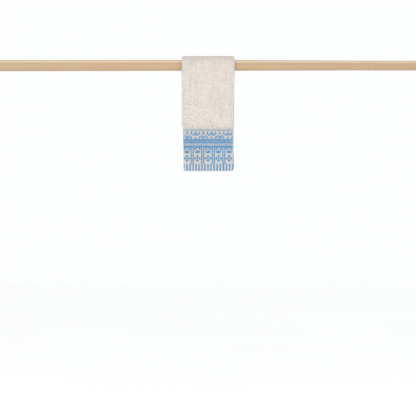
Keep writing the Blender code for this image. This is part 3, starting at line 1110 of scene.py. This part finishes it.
def level_rows(across, height):
    """The rows over the bays: a line, a row of seeds and a band with light lozenges."""
    seeds = lozenge(in_repeat(across, SEED_PITCH), height - SEED_HEIGHT, SEED_HALF)
    dots = lozenge(in_repeat(across, DOT_PITCH), height - sum(DOTTED_ROW) / 2.0, DOT_HALF)
    return between(height, LINE_ROW) | seeds | (between(height, DOTTED_ROW) & ~dots)


def garlands(across, height):
    """Lozenges with light hearts in three rows, whose middle one steps up and down.

    Counted in columns of one lozenge pitch, the first and last rows stand on the even columns and the
    middle row on the odd ones. Between the garlands the lozenges are slim, and the first row's are
    small once in each repeat. A row of seeds lies over the tips.
    """
    from_middle = (across - LOZENGE_MIDDLE) / LOZENGE_PITCH
    tip_x = in_repeat(across - LOZENGE_MIDDLE, 2.0 * LOZENGE_PITCH)
    blue = lozenge(tip_x, height - TIP_SEED_HEIGHT, TIP_SEED_HALF)
    for level, row_height in enumerate(LOZENGE_ROWS):
        odd = level % 2
        place = 2.0 * np.round((from_middle - odd) / 2.0) + odd
        slim = place % (GARLAND_REPEAT / 2.0) == 2.0
        small = (level == 0) & (place % GARLAND_REPEAT == 0.0)
        rising = np.abs(place % GARLAND_REPEAT - GARLAND_REPEAT / 2.0) > 2.0
        step = odd * LOZENGE_STEP * np.where(rising, 1.0, -1.0)
        half_width = LOZENGE_HALF_WIDTH * np.where(slim, LOZENGE_SLIM, 1.0)
        away = np.abs(from_middle - place) * LOZENGE_PITCH / half_width
        away = away + np.abs(height - row_height - step) / LOZENGE_HALF_HEIGHT
        blue |= (away < np.where(small, LOZENGE_SMALL, 1.0)) & (away > LOZENGE_HEART * ~(small | slim))
    return blue


def figure(across, height):
    """True where the border's blue yarn shows on the right side.

    From the hem up: stripes, bays, level rows, garlands and a thin band of half blue, whose yarns
    show in every other short step. The stripes and bays waver a little near the hem.
    """
    wave = WAVE_REACH * np.sin(height / WAVE_UP + across / WAVE_ACROSS)
    wave = wave * np.clip(1.0 - height / WAVE_TOP, 0.0, 1.0)
    blue = hem_stripes(across, height, wave) | bay_motifs(in_repeat(across + wave, BAY), height)
    blue |= level_rows(across, height) | garlands(across, height)
    pale = (np.floor(across / PALE_STEP) + np.floor(height / PALE_PICK)) % 2 == 0
    return blue | (pale & between(height, PALE_ROW))


def floats_of(shares, top, back, spacing, reverse):
    """Blue stretches of yarn, as flat starts and stops across and places along, read pick by pick.

    Every pick is read in small steps across, between two shares and from the hem up to top. The
    reverse shows the blue where the right side doesn't. Warp yarns hold the blue down at even
    distances, set over by a third from pick to pick, and more often where the cloth folds, but not
    near the ends of a run. Runs of blue between these ties are the floats.
    """
    height = np.arange(FIGURE_START + spacing / 2.0, top, spacing)[:, None]
    across = np.arange(-FIGURE_REACH, FIGURE_REACH, FIGURE_STEP)[None, :]
    along = WHOLE_LENGTH - height if back else height
    ends = stretch_ends(down_the_length(along))
    first, last = (at_share(share, ends) for share in shares)
    shown = (across > first) & (across < last)
    shown &= (across > ends[0] + FIGURE_MARGIN) & (across < ends[-1] - FIGURE_MARGIN)
    on_fold = between(across, ends[1:3]) | between(across, ends[3:5])
    blue = (figure(across, height) != reverse) & shown
    pick = np.arange(len(height))[:, None]
    column = np.arange(across.shape[1])[None, :]
    float_steps = int(round(bpy.context.scene.towel_border.float_length / FIGURE_STEP))
    tie = np.where(on_fold, TIE_STEPS_ON_FOLD, float_steps)
    reach = int(round(TIE_FREE / FIGURE_STEP))
    inner = blue & np.roll(blue, reach, axis=1) & np.roll(blue, -reach, axis=1)
    blue &= ~((inner | on_fold) & ((column + pick * (tie // 3)) % tie == 0))
    change = np.diff(np.pad(blue, ((0, 0), (1, 1))).astype(np.int8), axis=1)
    start_pick, start = np.nonzero(change == 1)
    _, stop = np.nonzero(change == -1)
    long_enough = stop - start >= SHORTEST_FLOAT_STEPS
    start_across = across[0, 0] + (start - 0.5) * FIGURE_STEP
    stop_across = across[0, 0] + (stop - 0.5) * FIGURE_STEP
    return start_across[long_enough], stop_across[long_enough], along[start_pick, 0][long_enough]


def thread_points(start, stop, along, half_width, height, seed):
    """Short floats of yarn, laid flat: two rings of three points between two tips.

    The section is a low ridge with its feet on the ground, shaded round. The tips dip under the
    ground. Returns flat places shaped (floats, 8).
    """
    rng = np.random.default_rng(seed)
    count = len(start)
    base = (down_the_length(along)["thickness"] / 2.0 - bpy.context.scene.towel_cloth.yarn_depth)[:, None]
    shoulder = np.minimum(SHOULDER_REACH, (stop - start) * SHOULDER_SHARE)
    swell = rng.uniform(*SWELL_SPREAD, count)[:, None]
    wander = rng.uniform(-WANDER_SPREAD, WANDER_SPREAD, count)[:, None] * half_width
    middle = along[:, None]
    ring_along = middle + wander + swell * half_width * np.array([-1.0, 0.0, 1.0])
    ring_lift = base + swell * height * np.array([0.0, 1.0, 0.0])
    ring_across = np.stack([start + shoulder, stop - shoulder], axis=1).repeat(3, axis=1)
    flat_across = yarn_rows((start - TIP_REACH)[:, None], ring_across, (stop + TIP_REACH)[:, None])
    flat_along = yarn_rows(middle, np.tile(ring_along, 2), middle)
    flat_lift = yarn_rows(base - TIP_DIP, np.tile(ring_lift, 2), base - TIP_DIP)
    return flat_across, flat_along, flat_lift


def lay_threads(name, runs, reverse, half_width, height, material, seed):
    """One piece of floats or stitches on the right side or on the reverse.

    runs are the threads' starts and stops across and their places along.
    """
    across, along, lift = thread_points(*runs, half_width, height, seed)
    corners, face_sizes = yarn_faces(len(across), rings=2, sides=3)
    if reverse:
        lift, corners, face_sizes = -lift, corners[::-1], face_sizes[::-1]
    lay_yarns(name, (across, along, lift), corners, face_sizes, material)


# Each row: piece, first and last share, whether it is on the back drop, pick spacing as a share of the
# finest, height of the part that shows, and whether it is on the reverse
FIGURE_PIECES = [
    ("figure_front", (1.0, 4.0), False, 1.0, BORDER_HEIGHT, False),
    ("figure_back", (1.0, 4.0), True, 1.0, BORDER_HEIGHT, False),
    ("figure_inside_front", (4.0, 5.0), False, 1.5, BORDER_HEIGHT, False),
    ("figure_inside_back", (4.0, 5.0), True, 1.5, BORDER_HEIGHT, False),
    ("figure_reverse_middle", (0.0, 1.0), True, 1.0, REVERSE_SHOWS, True),
    ("figure_reverse_inner", (4.0, 5.0), True, 1.0, REVERSE_SHOWS, True),
]


class TOWEL_OT_border(bpy.types.Operator):
    """Weave the border's blue figure as floats of weft yarn on both ends of the towel."""

    bl_idname = "towel.make_border"
    bl_label = "Make the border"

    def execute(self, context):
        sizes = context.scene.towel_border
        material = blue_cotton(tuple(sizes.color))
        for number, (name, shares, back, coarser, top, reverse) in enumerate(FIGURE_PIECES):
            spacing = sizes.pick_spacing * coarser
            runs = floats_of(shares, top, back, spacing, reverse)
            half_width = spacing * FLOAT_HALF_WIDTH
            lay_threads(name, runs, reverse, half_width, FLOAT_HEIGHT, material, FLOAT_SEED + number)
        return {"FINISHED"}


# Each row: piece, first and last share, whether it is on the back drop, and whether it is on the reverse
SEAM_PIECES = [
    ("hem_seam_front", (1.0, 5.0), False, False),
    ("hem_seam_back", (1.0, 5.0), True, False),
    ("hem_seam_reverse_back", (0.0, 1.0), True, True),
    ("hem_seam_reverse_inner", (4.0, 5.0), True, True),
]


class TOWEL_OT_seams(bpy.types.Operator):
    """Sew the turned hems with a row of short stitches."""

    bl_idname = "towel.make_seams"
    bl_label = "Sew the hems"

    def execute(self, context):
        material = sewing_thread(tuple(context.scene.towel_border.thread_color))
        for number, (name, shares, back, reverse) in enumerate(SEAM_PIECES):
            seam = WHOLE_LENGTH - HEM_SEAM if back else HEM_SEAM
            ends = stretch_ends(down_the_length(seam))
            first, last = (float(at_share(share, ends)) for share in shares)
            start = np.arange(first + STITCH_MARGIN, last - STITCH_PITCH - STITCH_MARGIN, STITCH_PITCH)
            stop = start + STITCH_PITCH - STITCH_GAP
            wander = soft_noise(start, 0.0, STITCH_WANDER_SIZE, SEAM_SEED + number) * STITCH_WANDER
            runs = (start, stop, seam + wander)
            seed = STITCH_SEED + number
            lay_threads(name, runs, reverse, STITCH_HALF_WIDTH, STITCH_HEIGHT, material, seed)
        return {"FINISHED"}


def rod_outline():
    """Distances along and radii of the rod's rings: a flat disc, a quarter circle for the eased edge, the
    length, and the same again at the far end.
    """
    length = ROD_HIGH.x - ROD_LOW.x
    flat = np.arange(1, ROD_END_RINGS + 1) / ROD_END_RINGS
    turn = flat * math.pi / 2.0
    rounding = ROD_END_EASE * (1.0 - np.cos(turn))
    shrink = ROD_END_EASE * (1.0 - np.sin(turn))
    middle = np.arange(1, int(round(length / ROD_RING_PITCH))) * ROD_RING_PITCH
    near_edge = rod_at(rounding, "radius") - shrink
    far_edge = rod_at(length - rounding[::-1], "radius") - shrink[::-1]
    near_flat = (rod_at(0.0, "radius") - ROD_END_EASE) * flat
    far_flat = (rod_at(length, "radius") - ROD_END_EASE) * flat[::-1]
    starts, ends = np.zeros(ROD_END_RINGS), np.full(ROD_END_RINGS, length)
    along = np.concatenate([starts, rounding, middle, length - rounding[::-1], ends])
    radius = np.concatenate([near_flat, near_edge, rod_at(middle, "radius"), far_edge, far_flat])
    return along, radius


def disc_place(far, radius, turn):
    """Bake place on the disc of the near or far end, for a radius and a share of a whole turn."""
    reach = ROD_DISC_RADIUS * radius / ROD_SECTIONS["radius"].max()
    angle = 2.0 * math.pi * turn
    across = np.where(far, ROD_DISC_PLACES[1], ROD_DISC_PLACES[0])
    return across + reach * np.cos(angle), ROD_DISC_HEIGHT + reach * np.sin(angle)


def rod_bake_places(along, radius, sides):
    """Bake places of the rod's faces: four strips of its length over each other, and discs for its ends."""
    rings = len(along)
    quad = np.arange(rings - 1)[:, None, None]
    ring = quad + np.array([0, 0, 1, 1])
    turn = (np.arange(sides)[:, None] + np.array([0, 1, 1, 0])) / sides
    middle = (along[quad] + along[quad + 1]) / 2.0
    strip = np.clip(np.floor(middle / ROD_STRIP_LENGTH), 0, ROD_STRIPS - 1)
    on_strip = (along[ring] - strip * ROD_STRIP_LENGTH) / ROD_STRIP_LENGTH
    around = (strip + ROD_STRIP_MARGIN + (1.0 - 2.0 * ROD_STRIP_MARGIN) * turn) * ROD_STRIP_SHARE
    on_disc = disc_place(middle > along[-1] / 2.0, radius[ring], turn)
    at_end = (quad < ROD_END_RINGS) | (quad >= rings - 1 - ROD_END_RINGS)
    on_quads = (np.where(at_end, on_disc[0], on_strip), np.where(at_end, on_disc[1], around))
    from_pole = np.array([0.0, 1.0, 1.0])
    near_turn = (np.arange(sides)[:, None] + np.array([0, 1, 0])) / sides
    far_turn = (np.arange(sides)[:, None] + np.array([0, 0, 1])) / sides
    near = disc_place(False, radius[0] * from_pole, near_turn)
    far = disc_place(True, radius[-1] * from_pole, far_turn)
    return np.concatenate([np.stack(places, axis=-1).reshape(-1, 2) for places in (on_quads, near, far)])


def rod_mesh(sides, unevenness):
    """The rod's points, the corners and sizes of its faces, and their bake places.

    A ring is a circle round the centre line, made a little oval by soft noise times the cosine of
    twice the angle. One point in the middle closes each end.
    """
    along, radius = rod_outline()
    rings, length = len(along), along[-1]
    turn = np.linspace(0.0, 2.0 * math.pi, sides, endpoint=False)
    stretched = along[:, None] / ROD_WANDER_STRETCH
    noise = soft_noise(stretched, turn * ROD_WANDER_ROUND, ROD_WANDER_SIZE, ROD_SEED)
    full = np.minimum(along, length - along)[:, None] > ROD_END_EASE
    ringed = radius[:, None] + unevenness * noise * np.cos(turn * 2.0) * full
    y = ringed * np.cos(turn)
    z = rod_at(along, "rise")[:, None] + ringed * np.sin(turn)
    x = np.broadcast_to(along[:, None], y.shape)
    poles = [[0.0, 0.0, rod_at(0.0, "rise")], [length, 0.0, rod_at(length, "rise")]]
    points = np.concatenate([np.stack([x, y, z], axis=-1).reshape(-1, 3), poles])

    quads = grid_faces(rings, sides)
    index = np.arange(sides)
    beside = (index + 1) % sides
    last = (rings - 1) * sides
    near = np.stack([np.full(sides, rings * sides), beside, index], axis=-1)
    far = np.stack([np.full(sides, rings * sides + 1), last + index, last + beside], axis=-1)
    corners = np.concatenate([quads.ravel(), near.ravel(), far.ravel()])
    face_sizes = np.concatenate([np.full(len(quads), 4), np.full(2 * sides, 3)])
    return points, corners, face_sizes, rod_bake_places(along, radius, sides)


class TOWEL_OT_rod(bpy.types.Operator):
    """Turn the wooden rod: rings round its centre line, slightly uneven, with eased and sawn ends."""

    bl_idname = "towel.make_rod"
    bl_label = "Make the rod"

    def execute(self, context):
        clear_piece("wooden_rod")
        sizes = context.scene.towel_rod
        points, corners, face_sizes, bake = rod_mesh(sizes.sides, sizes.unevenness)
        material = pale_wood(tuple(sizes.color), tuple(sizes.dark_color))
        rod = add_piece("wooden_rod", points, corners, face_sizes, material, {"OFBake": bake})
        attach(rod, "root")
        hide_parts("rod")
        return {"FINISHED"}


def studio_light(name, place, aim, size, power):
    """A square soft light at a place, turned towards a point. Both are from the towel's middle."""
    clear_piece(name)
    lamp = bpy.data.lights.new(name, "AREA")
    lamp.size = size
    lamp.energy = power
    made = bpy.data.objects.new(name, lamp)
    made.location = (TOWEL_MIDDLE + place[0], place[1], place[2])
    direction = np.array(aim) - np.array(place)
    level = math.hypot(direction[0], direction[1])
    made.rotation_euler = (math.atan2(level, -direction[2]), 0.0, math.atan2(-direction[0], direction[1]))
    made.visible_camera = False
    bpy.context.scene.collection.objects.link(made)
    return made


def pale_floor(drop):
    """A level square of pale, dull floor, at a drop under the rod."""
    clear_piece("floor")
    nodes = Nodes("pale_floor")
    nodes.shader.inputs["Roughness"].default_value = 0.9
    soft = nodes.noise((0.8, 0.8, 0.8))
    corners = [(-1, -1), (1, -1), (1, 1), (-1, 1)]
    points = [(TOWEL_MIDDLE + x * FLOOR_HALF, y * FLOOR_HALF, -drop) for x, y in corners]
    mesh = bpy.data.meshes.new("floor")
    mesh.from_pydata(points, [], [(0, 1, 2, 3)])
    mesh.materials.append(nodes.complete(nodes.shades(soft, WHITE, (0.3, 0.975), (0.7, 0.99))))
    floor = bpy.data.objects.new("floor", mesh)
    bpy.context.scene.collection.objects.link(floor)
    return floor


class TOWEL_OT_stage(bpy.types.Operator):
    """Set the studio: a pale floor, a white surround, soft lights and the camera."""

    bl_idname = "towel.make_stage"
    bl_label = "Set the stage"

    def execute(self, context):
        scene = context.scene
        sizes = scene.towel_stage
        floor = pale_floor(sizes.floor_drop)

        scene.world = bpy.data.worlds.new("studio")
        scene.world.use_nodes = True
        background = scene.world.node_tree.nodes["Background"]
        background.inputs["Color"].default_value = (*sizes.surround, 1.0)
        background.inputs["Strength"].default_value = 1.0
        scene.view_settings.view_transform = "Standard"
        scene.view_settings.look = "None"

        studio_light("key_light", KEY_PLACE, KEY_AIM, KEY_SIZE, sizes.key_power)
        studio_light("bounce_light", BOUNCE_PLACE, ROD_AIM, BOUNCE_SIZE, sizes.bounce_power)
        strip = studio_light("gloss_light", GLOSS_PLACE, ROD_AIM, GLOSS_SIZE[0], sizes.gloss_power)
        strip.data.shape = "RECTANGLE"
        strip.data.size_y = GLOSS_SIZE[1]
        strip.data.color = GLOSS_COLOR
        strip.visible_diffuse = False

        clear_piece("camera")
        camera = bpy.data.objects.new("camera", bpy.data.cameras.new("camera"))
        camera.data.sensor_width = SENSOR_WIDTH
        camera.data.lens = SENSOR_WIDTH * sizes.distance / sizes.frame_width
        camera.data.clip_end = VIEW_END
        camera.location = (TOWEL_MIDDLE, -sizes.distance, sizes.frame_middle)
        camera.rotation_euler = (math.pi / 2.0, 0.0, 0.0)
        scene.collection.objects.link(camera)
        scene.camera = camera
        return {"FINISHED"}


class TOWEL_PT_panel(bpy.types.Panel):
    """Sizes, colours and buttons for the towel."""

    bl_label = "Folded towel"
    bl_idname = "TOWEL_PT_panel"
    bl_space_type = "VIEW_3D"
    bl_region_type = "UI"
    bl_category = "Towel"

    def draw(self, context):
        for operator, group in OPERATORS.items():
            box = self.layout.box()
            settings = getattr(context.scene, group)
            for name in settings.__annotations__:
                box.prop(settings, name)
            box.operator(operator.bl_idname)


GROUPS = {
    "towel_cloth": TowelCloth,
    "towel_pile": TowelPile,
    "towel_border": TowelBorder,
    "towel_rod": TowelRod,
    "towel_stage": TowelStage,
}
# Each operator with the group of settings that the panel shows over its button
OPERATORS = {
    TOWEL_OT_cloth: "towel_cloth",
    TOWEL_OT_pile: "towel_pile",
    TOWEL_OT_border: "towel_border",
    TOWEL_OT_seams: "towel_border",
    TOWEL_OT_rod: "towel_rod",
    TOWEL_OT_stage: "towel_stage",
}


def register():
    """Registers the settings, the operators and the panel."""
    for name, group in GROUPS.items():
        bpy.utils.register_class(group)
        setattr(bpy.types.Scene, name, bpy.props.PointerProperty(type=group))
    for shown in (*OPERATORS, TOWEL_PT_panel):
        bpy.utils.register_class(shown)


def unregister():
    """Takes back what register did, in the opposite order."""
    for shown in (TOWEL_PT_panel, *reversed(OPERATORS)):
        bpy.utils.unregister_class(shown)
    for name, group in reversed(GROUPS.items()):
        delattr(bpy.types.Scene, name)
        bpy.utils.unregister_class(group)


def main():
    """Makes every piece and the stage."""
    register()
    bpy.ops.towel.make_rod()
    bpy.ops.towel.make_cloth()
    bpy.ops.towel.make_pile()
    bpy.ops.towel.make_border()
    bpy.ops.towel.make_seams()
    bpy.ops.towel.make_stage()


if __name__ == "__main__":
    main()
